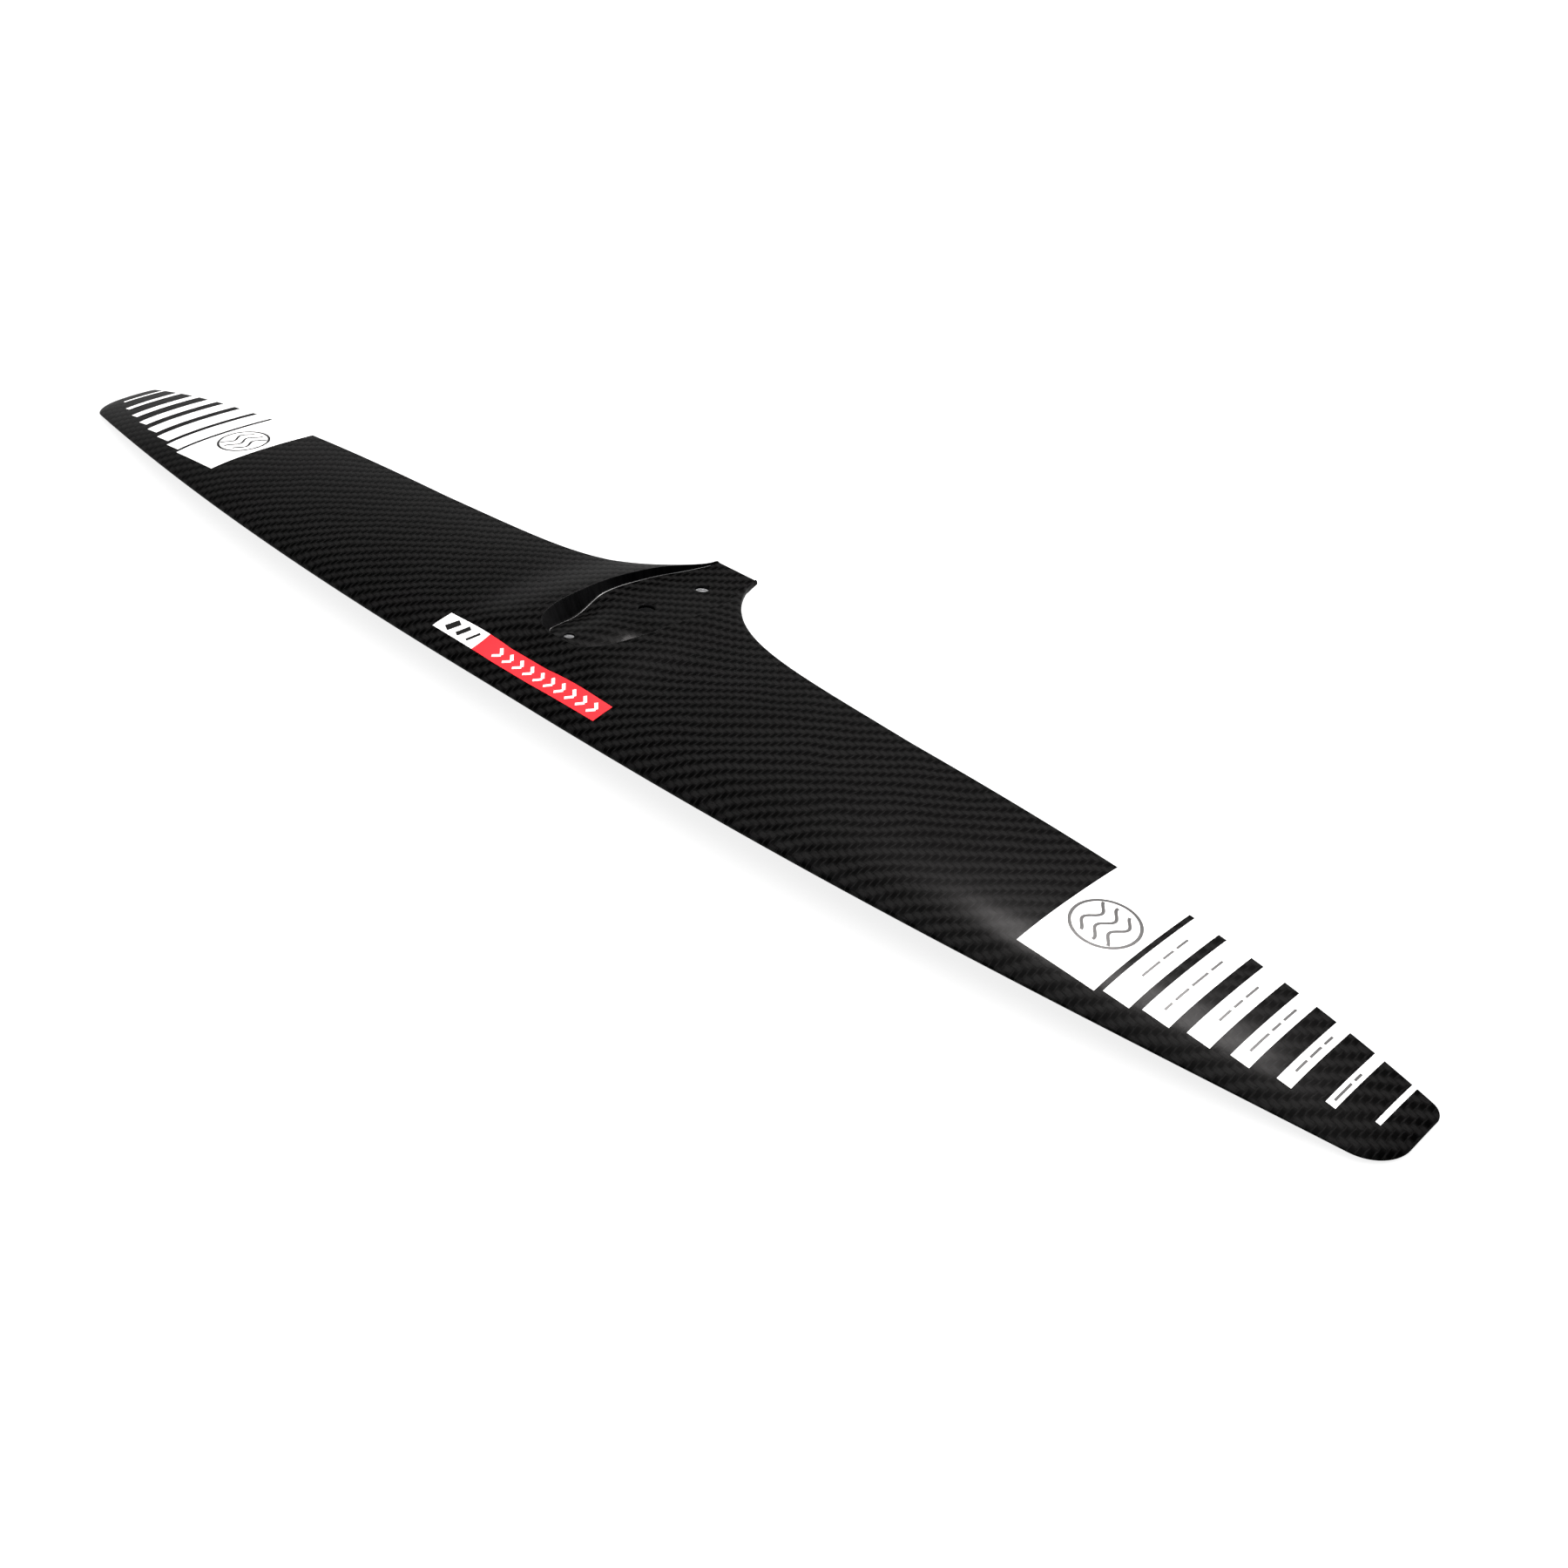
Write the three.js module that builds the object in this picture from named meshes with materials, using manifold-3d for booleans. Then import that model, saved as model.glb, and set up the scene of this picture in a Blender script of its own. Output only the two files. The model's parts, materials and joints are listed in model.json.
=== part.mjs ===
// Front wing of a hydrofoil: a high-aspect moulded carbon wing that bolts under the nose of a
// fuselage. Millimetres. X runs along the span (+X is the right tip), Y runs back to the trailing
// edge and the tail, Z is up. The wing is drawn with its root leading edge at y = 0, z = 0, and the
// whole group is then moved so that the origin is the bottom centre of its bounding box.
import * as THREE from 'three';
import { mergeVertices } from 'three/addons/utils/BufferGeometryUtils.js';
import Module from 'manifold-3d';

const wasm = await Module();
wasm.setup();

// ---- driving dimensions -------------------------------------------------------------------
const HALF_SPAN = 449.5;
const ROOT_CHORD = 105; // without the tail
const LE_SWEEP = 41.3; // how far the leading edge has moved back at the tip
const LE_POWER = 2.714;
const TE_SWEEP = 23.7; // how far the trailing edge has moved forward at the tip
const TE_POWER = 2.356;
const LE_DROOP = 19.3; // anhedral at the tip
const LE_DROOP_POWER = 3.95;
const TE_DROOP = 18.9;
const TE_DROOP_POWER = 5.24;
const THICKNESS_ROOT = 0.112; // section thickness as a fraction of the chord
const THICKNESS_LOSS = 0.042; // how much of it is gone at the tip
const CAMBER = 0.009;
const CAMBER_AT = 0.4;
const TE_EDGE = 1.0; // trailing edge thickness
const ROOT_BULGE = 8.3; // extra thickness around the fuselage seat
const ROOT_BULGE_WIDTH = 48;
const ROOT_BULGE_FROM = 0.08; // chord fraction where the bulge starts to grow
const ROOT_BULGE_FULL = 0.27; // and where it has its full size
const AFT_FAIRING = 4; // fuller rear half around the seat
const TIP_CORNER_FRONT = 15;
const TIP_CORNER_REAR = 5;

const TAIL_HALF_WIDTH = 14.2;
const TAIL_END = 161.8;
const TAIL_FILLET = 84; // size and fade length of the curve between trailing edge and tail
const TAIL_FILLET_FADE = 25;
const TAIL_FLARE = 5; // the slow part of the same curve, gone by x = TAIL_FLARE_END
const TAIL_FLARE_END = 170;
const TAIL_DROP = 13.15; // the trailing edge dips to meet the tail
const TAIL_DROP_FADE = 15;
const TAIL_EDGE = 1.6; // thickness of the tail's square end
const TAIL_EDGE_FADE = 14;

const SEAT_SLOPE = 0.1341; // the seat falls towards the tail by this much per mm
const SEAT_LEVEL_AT = 103.5; // where the sloping seat crosses z = 0
const SEAT_FLAT_FROM = 130; // behind this it levels out
const SEAT_FLAT_DROP = 1.6;
const SEAT_FLAT_FADE = 12;
const SEAT_CROWN = 5; // the seat's sides fall away from the crown at the front
const SEAT_CROWN_WIDTH = 20;
const SEAT_CROWN_FULL = 64; // crown is full ahead of this and gone behind SEAT_CROWN_END
const SEAT_CROWN_END = 92;
// half-width of the pocket's rim and of its floor at chosen distances from the leading edge
const RIM = [[40, 12], [42, 16.5], [45, 20], [51, 23.5], [64, 26.6], [85, 28.4], [102, 28.5],
  [118, 26.9], [131, 24.6], [143, 20], [153.5, 16.2], [TAIL_END, 13.4]];
const FLOOR = [[40, 10], [42, 8.5], [45, 13], [51, 18], [64, 21.2], [85, 25.2], [102, 27],
  [118, 26], [131, 24], [143, 19.6], [153.5, 15.8], [TAIL_END, 12.8]];
const BOLTS = [ // front, middle and rear: hole radius, thickness left under the seat, bore below
  { y: 46.9, r: 2.7, seat: 0.8, head: 6.5, blind: false },
  { y: 97.3, r: 4.3, seat: 3.5, head: 0, blind: true },
  { y: 135.8, r: 3.75, seat: 1.5, head: 7, blind: false },
];

const SKIN = 0.9;
const GAP = 0.3;
const TRAY_WALL = 1.2;
const TRAY_FLOOR = 1.5;
const CAVITY = SKIN + GAP; // from the outside to where inner pieces may start
const BUSH_WALL = 1;
const REACH = 30; // how far cutters run past the part
const BLOCK_HALF_WIDTH = 58;
const BLOCK_END = 127;
const BLOCK_CLEARANCE = 0.3; // bond line around the block, on top of the usual gap
const CORE_END = 430; // solid tips start here
const LE_FILLER_END = 289.2;
const FRONT_CORE_END = 405.7;
const SPAR_END = 326.9; // beyond this one solid strip takes the place of caps and web
const CAP_THICKNESS = 0.9;

const FILM_LIFT = 0.3;
const FILM = 0.2;
// broad panel, then the seven stripes: inner and outer x, and the y of the front edge
const FILM_TIP = [[289.2, 326.9, 28.8], [329.5, 341.7, 31.2], [345.7, 358.0, 34.2],
  [364.1, 374.4, 37.2], [381.5, 389.8, 40.4], [399.4, 405.7, 44.2], [417.5, 421.8, 48.9],
  [434.7, 436.9, 55.5]];
const LABEL_FRONT = 9.7;
const LABEL_REAR = 21.7;
const LABEL_HALF_WIDTH = 59.4;
const LABEL_SPLIT = -29;

const COLORS = { carbon: 0x0b0b0c, pocket: 0x050505, core: 0xd9c79b, unidirectional: 0x1a1a1c,
  block: 0x2a2a2d, steel: 0xc8c8cc, white: 0xf4f4f4, red: 0xe8323c };

// ---- wing surface -------------------------------------------------------------------------
const tipCorner = (x, radius) => {
  const into = x - (HALF_SPAN - radius);
  return into > 0 ? radius - Math.sqrt(Math.max(radius * radius - into * into, 0)) : 0;
};

function leadingEdge(x) {
  const s = Math.abs(x);
  return {
    y: LE_SWEEP * (s / HALF_SPAN) ** LE_POWER + tipCorner(s, TIP_CORNER_FRONT),
    z: -LE_DROOP * (s / HALF_SPAN) ** LE_DROOP_POWER,
  };
}

function plainTrailingEdge(s) {
  return ROOT_CHORD - TE_SWEEP * (s / HALF_SPAN) ** TE_POWER;
}

function trailingEdge(x) {
  const s = Math.abs(x);
  const droop = TE_EDGE - 0.2 + TE_DROOP * (s / HALF_SPAN) ** TE_DROOP_POWER;
  const out = Math.max(s, TAIL_HALF_WIDTH);
  const flare = TAIL_FLARE * Math.max(0, 1 - s / TAIL_FLARE_END);
  const fillet = TAIL_FILLET * Math.exp(-out / TAIL_FILLET_FADE) + flare;
  return {
    y: s <= TAIL_HALF_WIDTH ? TAIL_END : plainTrailingEdge(s) + fillet - tipCorner(s, TIP_CORNER_REAR),
    z: -droop - TAIL_DROP * Math.exp(-out / TAIL_DROP_FADE),
  };
}

// half thickness of a four-digit section of unit thickness at chord fraction u, closed at the rear
function sectionHalf(u) {
  return 5 * (0.2969 * Math.sqrt(u) - 0.126 * u - 0.3516 * u ** 2 + 0.2843 * u ** 3 - 0.1036 * u ** 4);
}

function camberLine(u) {
  const p = CAMBER_AT;
  return u < p ? (2 * p * u - u * u) / (p * p) : (1 - 2 * p + 2 * p * u - u * u) / ((1 - p) ** 2);
}

// middle surface and half thickness at span station x and chord fraction u
function section(x, u) {
  const s = Math.abs(x);
  const le = leadingEdge(x);
  const te = trailingEdge(x);
  const chord = plainTrailingEdge(s) - le.y;
  const ratio = THICKNESS_ROOT - THICKNESS_LOSS * (s / HALF_SPAN) ** 1.6;
  const bulge = Math.exp(-((s / ROOT_BULGE_WIDTH) ** 4));
  const tail = Math.exp(-((Math.max(s - TAIL_HALF_WIDTH, 0) / TAIL_EDGE_FADE) ** 2));
  const edge = TE_EDGE + (TAIL_EDGE - TE_EDGE) * tail;
  const grown = THREE.MathUtils.smoothstep(u, ROOT_BULGE_FROM, ROOT_BULGE_FULL);
  const thickness = ratio * chord + ROOT_BULGE * bulge * grown;
  const rounding = Math.sqrt(Math.max(1 - (Math.max(s - HALF_SPAN + 5, 0) / 5.6) ** 2, 0));
  const aft = AFT_FAIRING * bulge * u ** 1.5 * (1 - u) ** 0.25;
  return {
    y: le.y + (te.y - le.y) * u,
    mid: le.z + (te.z - le.z) * u + CAMBER * chord * camberLine(u),
    half: (thickness * sectionHalf(u) + aft + (edge / 2) * u) * rounding,
  };
}

// the same at a given x and y
function surfaceAt(x, y) {
  const le = leadingEdge(x);
  const te = trailingEdge(x);
  const u = THREE.MathUtils.clamp((y - le.y) / (te.y - le.y), 0, 1);
  return section(x, u);
}
const upperAt = (x, y) => surfaceAt(x, y).mid + surfaceAt(x, y).half;
const lowerAt = (x, y) => surfaceAt(x, y).mid - surfaceAt(x, y).half;

// ---- solids -------------------------------------------------------------------------------
// closed solid between two grids of points; rows run along +X and columns along +Y
function sheet(top, bottom) {
  const rows = top.length;
  const columns = top[0].length;
  const points = [...top.flat(), ...bottom.flat()];
  const at = (layer, i, j) => layer * rows * columns + i * columns + j;
  const index = [];
  const quad = (a, b, c, d) => index.push(a, b, c, a, c, d);
  for (let i = 0; i + 1 < rows; i++) {
    for (let j = 0; j + 1 < columns; j++) {
      quad(at(0, i, j), at(0, i + 1, j), at(0, i + 1, j + 1), at(0, i, j + 1));
      quad(at(1, i, j), at(1, i, j + 1), at(1, i + 1, j + 1), at(1, i + 1, j));
    }
    quad(at(1, i, 0), at(1, i + 1, 0), at(0, i + 1, 0), at(0, i, 0));
    const last = columns - 1;
    quad(at(0, i, last), at(0, i + 1, last), at(1, i + 1, last), at(1, i, last));
  }
  for (let j = 0; j + 1 < columns; j++) {
    quad(at(0, 0, j), at(0, 0, j + 1), at(1, 0, j + 1), at(1, 0, j));
    const last = rows - 1;
    quad(at(1, last, j), at(1, last, j + 1), at(0, last, j + 1), at(0, last, j));
  }
  const geometry = new THREE.BufferGeometry();
  geometry.setAttribute('position', new THREE.Float32BufferAttribute(points.flat(), 3));
  geometry.setIndex(index);
  return geometry;
}

// two grids over span stations xs and fractions us, with z limits from a function of (x, u)
function layer(xs, us, limits) {
  const grid = (pick) => xs.map((x) => us.map((u) => {
    const s = section(x, u);
    return [x, s.y, limits(s)[pick]];
  }));
  return sheet(grid(1), grid(0));
}

function toManifold(geometry) {
  const bare = geometry.clone();
  bare.deleteAttribute('normal');
  bare.deleteAttribute('uv');
  const merged = mergeVertices(bare, 1e-4);
  return new wasm.Manifold(new wasm.Mesh({
    numProp: 3,
    vertProperties: new Float32Array(merged.attributes.position.array),
    triVerts: new Uint32Array(merged.index.array),
  }));
}

function toGeometry(solid) {
  const mesh = solid.getMesh();
  const geometry = new THREE.BufferGeometry();
  geometry.setAttribute('position', new THREE.Float32BufferAttribute(mesh.vertProperties, 3));
  geometry.setIndex([...mesh.triVerts]);
  return geometry;
}

const carve = (solid, tools) => tools.reduce((left, tool) => left.subtract(toManifold(tool)), solid);
const subtract = (geometry, ...tools) => toGeometry(carve(toManifold(geometry), tools));

const wing = new THREE.Group();
const root = new THREE.Group();
root.add(wing);

function add(name, geometry, color, roughness = 0.35, metalness = 0) {
  const material = new THREE.MeshStandardMaterial({ color, roughness, metalness });
  const mesh = new THREE.Mesh(geometry, material);
  mesh.name = name;
  wing.add(mesh);
}

// the same list of span stations on the left side, still in +X order
const mirrored = (xs) => xs.map((x) => -x).reverse();
const between = (xs, from, to) => [from, ...xs.filter((x) => x > from + 1 && x < to - 1), to];

const INNER_STATIONS = [TAIL_HALF_WIDTH, 17, 20, 24, 29, 35, 43, 54, 70, 92, 120, 155, 195, 240];
const TIP_STATIONS = [442, 446, 448.4, HALF_SPAN];
const FILM_STATIONS = FILM_TIP.flatMap(([inner, outer]) => [inner, outer]);
const RIGHT_STATIONS = [...INNER_STATIONS, ...FILM_STATIONS, ...TIP_STATIONS];
const STATIONS = [...mirrored(RIGHT_STATIONS), 0, ...RIGHT_STATIONS];
const CHORD_STEPS = [0.004, 0.03, 0.08, 0.12, 0.16, 0.21, 0.27, 0.4, 0.54, 0.68, 0.82, 0.92, 1];
// where the inner pieces meet, all of them among CHORD_STEPS
const LE_FILLER = [0.03, 0.08];
const FRONT_CORE = [0.08, 0.16, 0.27];
const SPAR = [0.27, 0.4];
const WEB = [0.31, 0.36];
const REAR_CORE = [0.4, 0.54, 0.68];
const TE_FILLER = [0.68, 0.82];
const TIP_BLOCK = [0.16, 0.27, 0.4, 0.54];

// ---- fuselage seat ------------------------------------------------------------------------
function along(profile, y) {
  const next = profile.findIndex(([at]) => at >= y - 1e-6);
  if (next <= 0) return profile[Math.max(next, 0)][1];
  const [y0, w0] = profile[next - 1];
  const [y1, w1] = profile[next];
  return w0 + (w1 - w0) * (y - y0) / (y1 - y0);
}

function seatLevel(y) {
  const slope = (at) => -SEAT_SLOPE * (at - SEAT_LEVEL_AT);
  if (y < SEAT_FLAT_FROM) return slope(y);
  return slope(SEAT_FLAT_FROM) - SEAT_FLAT_DROP * (1 - Math.exp((SEAT_FLAT_FROM - y) / SEAT_FLAT_FADE));
}

function seatAt(x, y) {
  const crown = 1 - THREE.MathUtils.smoothstep(y, SEAT_CROWN_FULL, SEAT_CROWN_END);
  return seatLevel(y) - SEAT_CROWN * crown * (x / SEAT_CROWN_WIDTH) ** 2;
}

const SEAT_ROWS = [40, 42, 45, 51, 57, 64, 72, 80, 92, 104, 118, 131, 143, 153.5, TAIL_END];
const FLOOR_COLUMNS = [1, 0.75, 0.5, 0.25, -0.25, -0.5, -0.75, -1];

// cross-section of the tray at y, from left to right: rim, wall and floor, above and below
function trayRow(y) {
  const rim = along(RIM, y);
  const floor = along(FLOOR, y);
  const front = y <= SEAT_ROWS[0];
  const top = [];
  const bottom = [];
  const floorTop = (x) => (front ? upperAt(x, y) : Math.min(seatAt(x, y), upperAt(x, y)));
  const under = (x) => (y > BLOCK_END ? lowerAt(x, y) : floorTop(x) - TRAY_FLOOR);
  for (const side of [-1, 1]) {
    const edge = [rim + TRAY_WALL, rim].map((x) => [side * x, y, upperAt(side * x, y)]);
    const drop = Math.min(1, (edge[0][2] - under(edge[0][0])) * 0.5);
    const below = [[edge[0][0], y, y > BLOCK_END ? under(edge[0][0]) : edge[0][2] - drop],
      [side * (floor + TRAY_WALL + 0.2), y, under(side * floor) + (y > BLOCK_END ? 0 : 0.3)]];
    top.push(side < 0 ? edge : edge.reverse());
    bottom.push(side < 0 ? below : below.reverse());
  }
  const across = FLOOR_COLUMNS.map((part) => -part * floor);
  return {
    top: [...top[0], ...across.map((x) => [x, y, floorTop(x)]), ...top[1]],
    bottom: [...bottom[0], ...across.map((x) => [x, y, under(x)]), ...bottom[1]],
  };
}

// rows of the tray run along Y, so the grid is turned to the row order that sheet() expects
const turned = (grid) => grid[0].map((_, column) => grid.map((row) => row[column]));

function seatTray() {
  const rows = SEAT_ROWS.map(trayRow);
  return sheet(turned(rows.map((row) => row.top)), turned(rows.map((row) => row.bottom)));
}

// everything above the tray's underside, for cutting the block
function trayVoid() {
  const clear = GAP + 0.1;
  const rows = [SEAT_ROWS[0] - clear, ...SEAT_ROWS].map((y) => {
    const row = trayRow(Math.max(y, SEAT_ROWS[0]));
    const count = row.bottom.length;
    return row.bottom.map(([x, , z], i) => {
      const outer = i < 2 || i >= count - 2;
      return [x + (outer ? Math.sign(x) * clear : 0), y, z - clear];
    });
  });
  const top = rows.map((row) => row.map(([x, y]) => [x, y, 40]));
  return sheet(turned(top), turned(rows));
}

// straight-sided plug over the pocket's outline, for cutting the upper skin
function rimPlug() {
  const out = TRAY_WALL + GAP;
  const outline = SEAT_ROWS.map((y) => [along(RIM, y) + out, y]);
  const tail = [outline[outline.length - 1][0], TAIL_END + 10];
  const front = [along(RIM, SEAT_ROWS[0]), SEAT_ROWS[0] - GAP];
  const side = [front, ...outline, tail];
  const points = [...side, ...side.map(([x, y]) => [-x, y]).reverse()];
  const shape = new THREE.Shape(points.map(([x, y]) => new THREE.Vector2(x, y)));
  const plug = new THREE.ExtrudeGeometry(shape, { depth: 60, bevelEnabled: false });
  return plug.translate(0, 0, -20);
}

// lathed solid square to the seat at a bolt; the profile is radius against height over the seat
function atBolt(y, profile) {
  const points = profile.map(([radius, z]) => new THREE.Vector2(radius, z));
  const solid = new THREE.LatheGeometry(points, 24);
  solid.rotateX(Math.PI / 2 - Math.atan(SEAT_SLOPE));
  return solid.translate(0, y, seatLevel(y));
}

// bolt hole, opened out below the seat for a bush that takes the screw head
function boltCutter({ y, r, seat, head, blind }) {
  const bottom = -TRAY_FLOOR - seat;
  return atBolt(y, blind
    ? [[0, bottom], [r, bottom], [r, REACH], [0, REACH]]
    : [[0, -REACH], [head, -REACH], [head, -seat], [r, -seat], [r, REACH], [0, REACH]]);
}

function bush({ y, r, seat, head }) {
  const top = -seat - GAP;
  const inside = head - GAP - BUSH_WALL;
  const mouth = r + 0.2;
  const ring = atBolt(y, [[mouth, top], [head - GAP, top], [head - GAP, -REACH], [inside, -REACH],
    [inside, top - (inside - mouth)], [mouth, top]].reverse());
  return toGeometry(toManifold(ring).intersect(toManifold(outside)));
}
const cutters = BOLTS.map(boltCutter);

// ---- pieces -------------------------------------------------------------------------------
const upperSkin = layer(STATIONS, CHORD_STEPS, ({ mid, half }) => (
  [Math.max(mid + half - SKIN, mid + GAP / 2), mid + half]));
const lowerSkin = layer(STATIONS, CHORD_STEPS, ({ mid, half }) => (
  [mid - half, Math.min(mid - half + SKIN, mid - GAP / 2)]));
add('upper_skin', subtract(upperSkin, rimPlug()), COLORS.carbon, 0.25);
add('lower_skin', subtract(lowerSkin, cutters[0], cutters[2]), COLORS.carbon, 0.25);

// the tray is trimmed to the wing's outside and to the lower skin it is laid on
const outside = layer(STATIONS, CHORD_STEPS, ({ mid, half }) => [mid - half, mid + half]);
const belowTray = layer(STATIONS, CHORD_STEPS, ({ mid, half }) => (
  [mid - half - 30, Math.min(mid - half + SKIN, mid - GAP / 2) + GAP]));
const trimmedTray = toManifold(seatTray()).intersect(toManifold(outside));
add('fuselage_seat', toGeometry(carve(trimmedTray, [belowTray, ...cutters])), COLORS.pocket, 0.3);

// solid block that carries the bolts, between the skins and under the seat
function hardpoint() {
  const xs = between(STATIONS, -BLOCK_HALF_WIDTH, BLOCK_HALF_WIDTH);
  const ys = [12, 16, 22, 26, 30, 36, 42, 55, 70, 85, 97];
  const grid = (side) => xs.map((x) => {
    const end = Math.min(BLOCK_END, leadingEdge(x).y + (trailingEdge(x).y - leadingEdge(x).y) * 0.86);
    return [...ys, end].map((y) => {
      const { mid, half } = surfaceAt(x, y);
      return [x, y, mid + side * (half - CAVITY - BLOCK_CLEARANCE)];
    });
  });
  return sheet(grid(1), grid(-1));
}
add('hardpoint_block', subtract(hardpoint(), trayVoid(), ...cutters), COLORS.block, 0.6);
add('bolt_bush_front', bush(BOLTS[0]), COLORS.steel, 0.3, 1);
add('bolt_bush_rear', bush(BOLTS[2]), COLORS.steel, 0.3, 1);

// pieces inside each half of the wing, root to tip, as strips between chord fractions
const INNER_PIECE_STATIONS = [70, 92, 120, 155, 240, LE_FILLER_END, SPAR_END, 358, 389.8,
  FRONT_CORE_END];
const HALF_STATIONS = between(INNER_PIECE_STATIONS, BLOCK_HALF_WIDTH + GAP, CORE_END);

function strip(xs, us, limits) {
  const last = us.length - 1;
  const grid = (pick) => xs.map((x) => {
    const seam = GAP / 2 / (trailingEdge(x).y - leadingEdge(x).y);
    return us.map((u, k) => {
      const s = section(x, u + (k === 0 ? seam : 0) - (k === last ? seam : 0));
      return [x, s.y, limits(s)[pick]];
    });
  });
  return sheet(grid(1), grid(0));
}
const whole = ({ mid, half }) => [mid - half + CAVITY, mid + half - CAVITY];
const topCap = ({ mid, half }) => [mid + half - CAVITY - CAP_THICKNESS, mid + half - CAVITY];
const bottomCap = ({ mid, half }) => [mid - half + CAVITY, mid - half + CAVITY + CAP_THICKNESS];
const WEB_CLEARANCE = CAVITY + CAP_THICKNESS + GAP;
const web = ({ mid, half }) => [mid - half + WEB_CLEARANCE, mid + half - WEB_CLEARANCE];

for (const [side, order] of [['left', mirrored], ['right', (xs) => xs]]) {
  const upTo = (end) => order(HALF_STATIONS.filter((x) => x <= end));
  const outer = order([SPAR_END + GAP, ...HALF_STATIONS.filter((x) => x > SPAR_END)]);
  add(`leading_edge_filler_${side}`, strip(upTo(LE_FILLER_END), LE_FILLER, whole), COLORS.unidirectional);
  add(`front_core_${side}`, strip(upTo(FRONT_CORE_END), FRONT_CORE, whole), COLORS.core, 0.9);
  add(`spar_cap_upper_${side}`, strip(upTo(SPAR_END), SPAR, topCap), COLORS.unidirectional);
  add(`spar_cap_lower_${side}`, strip(upTo(SPAR_END), SPAR, bottomCap), COLORS.unidirectional);
  add(`shear_web_${side}`, strip(upTo(SPAR_END), WEB, web), COLORS.unidirectional);
  add(`outer_spar_${side}`, strip(outer, SPAR, whole), COLORS.unidirectional);
  add(`rear_core_${side}`, strip(upTo(CORE_END), REAR_CORE, whole), COLORS.core, 0.9);
  add(`trailing_edge_filler_${side}`, strip(upTo(SPAR_END), TE_FILLER, whole), COLORS.unidirectional);
  add(`tip_block_${side}`, strip(order([CORE_END + GAP, 437]), TIP_BLOCK, whole), COLORS.unidirectional);
}

// moulded-in graphics films on the upper skin
function film(xs, front, rear, steps) {
  const grid = (lift) => xs.map((x) => Array.from({ length: steps + 1 }, (_, k) => {
    const end = rear ?? trailingEdge(x).y;
    const y = front + (end - front) * k / steps;
    const { mid, half } = surfaceAt(x, y);
    return [x, y, mid + half + lift];
  }));
  return sheet(grid(FILM_LIFT + FILM), grid(FILM_LIFT));
}

for (const [side, order] of [['left', mirrored], ['right', (xs) => xs]]) {
  FILM_TIP.forEach(([inner, outer, front], k) => {
    const name = k === 0 ? `tip_panel_${side}` : `tip_stripe_${k}_${side}`;
    add(name, film(order([inner, outer]), front, null, 6), COLORS.white, 0.4);
  });
}
const labelLeft = between([-54, -43, -35], -LABEL_HALF_WIDTH, LABEL_SPLIT);
const labelRight = between([-20, -14.2, 0, 14.2, 20, 29, 43, 54], LABEL_SPLIT + GAP, LABEL_HALF_WIDTH);
add('label_white', film(labelLeft, LABEL_FRONT, LABEL_REAR, 2), COLORS.white, 0.4);
add('label_red', film(labelRight, LABEL_FRONT, LABEL_REAR, 2), COLORS.red, 0.4);

const box = new THREE.Box3().setFromObject(root);
wing.position.set(0, -(box.min.y + box.max.y) / 2, -box.min.z);

export default root;
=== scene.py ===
"""Looks of the hydrofoil front wing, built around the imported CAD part.

Shapes are worked out in millimetres from the same few dimensions as the CAD source, with the root
leading edge at y = 0 and z = 0, and then moved onto the CAD frame and scaled to metres.
"""

import json
import math

import bpy
import numpy as np
from mathutils import Matrix, Vector


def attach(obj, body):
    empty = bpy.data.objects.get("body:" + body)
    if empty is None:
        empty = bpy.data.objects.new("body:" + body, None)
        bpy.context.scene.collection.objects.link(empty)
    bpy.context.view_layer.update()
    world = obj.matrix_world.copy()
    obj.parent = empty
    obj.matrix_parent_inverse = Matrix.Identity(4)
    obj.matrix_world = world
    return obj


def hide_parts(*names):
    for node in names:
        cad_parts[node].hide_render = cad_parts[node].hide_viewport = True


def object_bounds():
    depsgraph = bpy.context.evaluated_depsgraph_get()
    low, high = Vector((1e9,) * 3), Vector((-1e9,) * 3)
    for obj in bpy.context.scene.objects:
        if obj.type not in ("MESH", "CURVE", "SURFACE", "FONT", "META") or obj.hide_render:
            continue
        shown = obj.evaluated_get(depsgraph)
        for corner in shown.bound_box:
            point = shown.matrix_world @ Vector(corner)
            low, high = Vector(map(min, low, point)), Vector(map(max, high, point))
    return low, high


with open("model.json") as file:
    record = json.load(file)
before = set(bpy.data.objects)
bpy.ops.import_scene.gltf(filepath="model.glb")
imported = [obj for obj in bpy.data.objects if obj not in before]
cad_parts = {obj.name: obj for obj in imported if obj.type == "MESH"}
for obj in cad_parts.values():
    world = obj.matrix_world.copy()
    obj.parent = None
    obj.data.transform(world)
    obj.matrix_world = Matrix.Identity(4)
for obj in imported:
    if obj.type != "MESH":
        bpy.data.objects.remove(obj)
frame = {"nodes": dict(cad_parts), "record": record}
cad_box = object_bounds()
MM = 0.001

# ---- wing dimensions, mm ------------------------------------------------------------------
HALF_SPAN = 449.5
ROOT_CHORD = 105.0
LE_SWEEP, LE_POWER = 41.3, 2.714
TE_SWEEP, TE_POWER = 23.7, 2.356
LE_DROOP, LE_DROOP_POWER = 19.3, 3.95
TE_DROOP, TE_DROOP_POWER = 18.9, 5.24
THICKNESS_ROOT, THICKNESS_LOSS = 0.112, 0.042
CAMBER, CAMBER_AT = 0.009, 0.4
TE_EDGE = 1.0
ROOT_BULGE, ROOT_BULGE_WIDTH = 8.3, 48.0
ROOT_BULGE_FROM, ROOT_BULGE_FULL = 0.08, 0.27
AFT_FAIRING = 4.0
TIP_CORNER_FRONT, TIP_CORNER_REAR = 15.0, 5.0
TAIL_HALF_WIDTH, TAIL_END = 14.2, 161.8
TAIL_FILLET, TAIL_FILLET_FADE = 84.0, 25.0
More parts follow.
